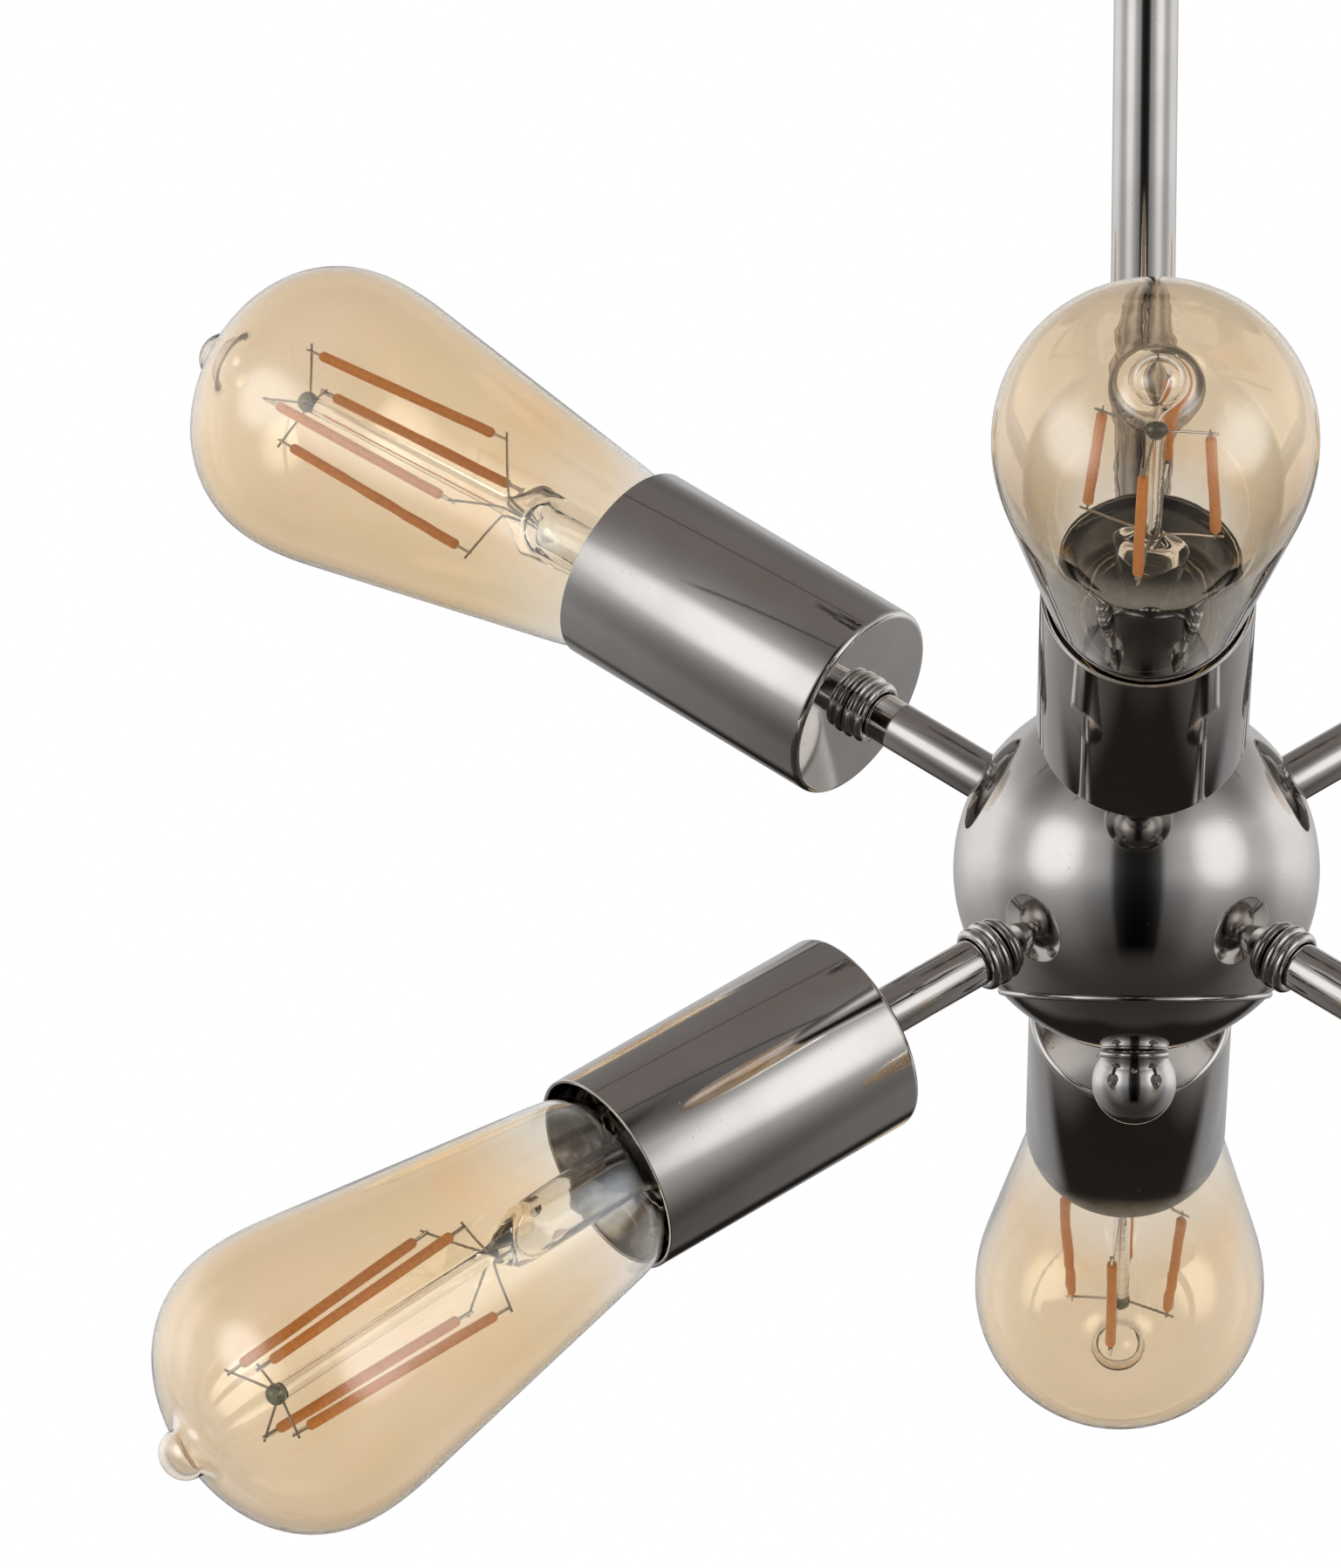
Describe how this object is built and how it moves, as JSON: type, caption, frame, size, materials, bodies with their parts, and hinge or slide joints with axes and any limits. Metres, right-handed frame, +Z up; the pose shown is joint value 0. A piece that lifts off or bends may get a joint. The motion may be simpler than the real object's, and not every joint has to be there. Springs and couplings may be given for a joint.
{
  "type": "sputnik chandelier",
  "caption": "Hanging light: polished ball on a downrod, with short arms up and down that end in metal cups holding amber filament lamps.",
  "frame": {"origin": "on the ceiling, at the middle of the mounting strap's two slots", "axes": "+Z up into the ceiling, +X along the mounting strap and to the right in the picture, -Y the front that faces the viewer"},
  "size_m": [0.3826, 0.4332, 0.6686],
  "materials": {
    "polished_nickel": "polished nickel plate",
    "zinc_steel": "zinc-plated steel",
    "amber_glass": "amber-tinted clear glass",
    "lamp_core_glass": "clear glass stem with orange filaments",
    "lamp_base_metal": "nickel-plated brass screw base",
    "holder_moulding": "black moulded phenolic",
    "lead_insulation": "clear and white insulation"
  },
  "bodies": {
    "ceiling_mount": {"crossbar": "zinc_steel", "ceiling_nipple": "zinc_steel", "ceiling_nuts": "zinc_steel", "canopy_studs": "zinc_steel"},
    "canopy": {"canopy": "polished_nickel"},
    "cap_nut_1": {"cap_nut_1": "polished_nickel"},
    "cap_nut_2": {"cap_nut_2": "polished_nickel"},
    "swivel": {"swivel_head": "polished_nickel", "pivot_screws": "polished_nickel"},
    "fixture": {"swivel_block": "polished_nickel", "rod_upper": "polished_nickel", "rod_coupler": "polished_nickel", "rod_nipples": "zinc_steel", "rod_lower": "polished_nickel", "ball_shell": "polished_nickel", "hub_nuts": "zinc_steel", "stud_bridge": "zinc_steel", "cap_stud": "zinc_steel", "junction_block": "holder_moulding", "wire_leads": "lead_insulation", "check_rings": "polished_nickel", "arm_nuts": "zinc_steel", "arm_tube_1": "polished_nickel", "cup_1": "polished_nickel", "lampholder_1": "holder_moulding", "arm_tube_2": "polished_nickel", "cup_2": "polished_nickel", "lampholder_2": "holder_moulding", "arm_tube_3": "polished_nickel", "cup_3": "polished_nickel", "lampholder_3": "holder_moulding", "arm_tube_4": "polished_nickel", "cup_4": "polished_nickel", "lampholder_4": "holder_moulding", "arm_tube_5": "polished_nickel", "cup_5": "polished_nickel", "lampholder_5": "holder_moulding", "arm_tube_6": "polished_nickel", "cup_6": "polished_nickel", "lampholder_6": "holder_moulding"},
    "bottom_cap": {"bottom_cap": "polished_nickel"},
    "finial": {"finial": "polished_nickel"},
    "lamp_1": {"lamp_glass_1": "amber_glass", "lamp_base_1": "lamp_base_metal", "lamp_core_1": "lamp_core_glass"},
    "lamp_2": {"lamp_glass_2": "amber_glass", "lamp_base_2": "lamp_base_metal", "lamp_core_2": "lamp_core_glass"},
    "lamp_3": {"lamp_glass_3": "amber_glass", "lamp_base_3": "lamp_base_metal", "lamp_core_3": "lamp_core_glass"},
    "lamp_4": {"lamp_glass_4": "amber_glass", "lamp_base_4": "lamp_base_metal", "lamp_core_4": "lamp_core_glass"},
    "lamp_5": {"lamp_glass_5": "amber_glass", "lamp_base_5": "lamp_base_metal", "lamp_core_5": "lamp_core_glass"},
    "lamp_6": {"lamp_glass_6": "amber_glass", "lamp_base_6": "lamp_base_metal", "lamp_core_6": "lamp_core_glass"}
  },
  "joints": [
    {"name": "swivel_turn", "type": "hinge", "parent": "ceiling_mount", "child": "swivel", "pos_m": [0, 0, -0.02], "axis": [0, 0, 1], "range_deg": [-165, 165]},
    {"name": "swivel_tilt", "type": "hinge", "parent": "swivel", "child": "fixture", "pos_m": [0, 0, -0.041], "axis": [1, 0, 0], "range_deg": [-45, 45]},
    {"name": "canopy_drop", "type": "slide", "parent": "ceiling_mount", "child": "canopy", "axis": [0, 0, -1], "range_m": [0, 0.0056]},
    {"name": "cap_nut_1_turn", "type": "hinge", "parent": "canopy", "child": "cap_nut_1", "pos_m": [-0.052, 0, -0.025], "axis": [0, 0, -1], "range_deg": [0, 2880]},
    {"name": "cap_nut_2_turn", "type": "hinge", "parent": "canopy", "child": "cap_nut_2", "pos_m": [0.052, 0, -0.025], "axis": [0, 0, -1], "range_deg": [0, 2880]},
    {"name": "cap_drop", "type": "slide", "parent": "fixture", "child": "bottom_cap", "axis": [0, 0, -1], "range_m": [0, 0.0056]},
    {"name": "finial_turn", "type": "hinge", "parent": "bottom_cap", "child": "finial", "pos_m": [0, 0, -0.57967], "axis": [0, 0, -1], "range_deg": [0, 2520]},
    {"name": "lamp_1_turn", "type": "hinge", "parent": "fixture", "child": "lamp_1", "pos_m": [0, -0.10498, -0.49247], "axis": [0, -0.9205, 0.3907], "range_deg": [0, 1800]},
    {"name": "lamp_2_turn", "type": "hinge", "parent": "fixture", "child": "lamp_2", "pos_m": [0.09091, -0.05249, -0.59487], "axis": [0.7574, -0.4373, -0.4848], "range_deg": [0, 1800]},
    {"name": "lamp_3_turn", "type": "hinge", "parent": "fixture", "child": "lamp_3", "pos_m": [0.09091, 0.05249, -0.49247], "axis": [0.7972, 0.4603, 0.3907], "range_deg": [0, 1800]},
    {"name": "lamp_4_turn", "type": "hinge", "parent": "fixture", "child": "lamp_4", "pos_m": [0, 0.10498, -0.59487], "axis": [0, 0.8746, -0.4848], "range_deg": [0, 1800]},
    {"name": "lamp_5_turn", "type": "hinge", "parent": "fixture", "child": "lamp_5", "pos_m": [-0.09091, 0.05249, -0.49247], "axis": [-0.7972, 0.4603, 0.3907], "range_deg": [0, 1800]},
    {"name": "lamp_6_turn", "type": "hinge", "parent": "fixture", "child": "lamp_6", "pos_m": [-0.09091, -0.05249, -0.59487], "axis": [-0.7574, -0.4373, -0.4848], "range_deg": [0, 1800]}
  ],
  "couplings": [
    {"joint": "cap_nut_1_turn", "follows": "canopy_drop", "rad_per_m": 8976},
    {"joint": "cap_nut_2_turn", "follows": "canopy_drop", "rad_per_m": 8976},
    {"joint": "finial_turn", "follows": "cap_drop", "rad_per_m": 7854}
  ]
}
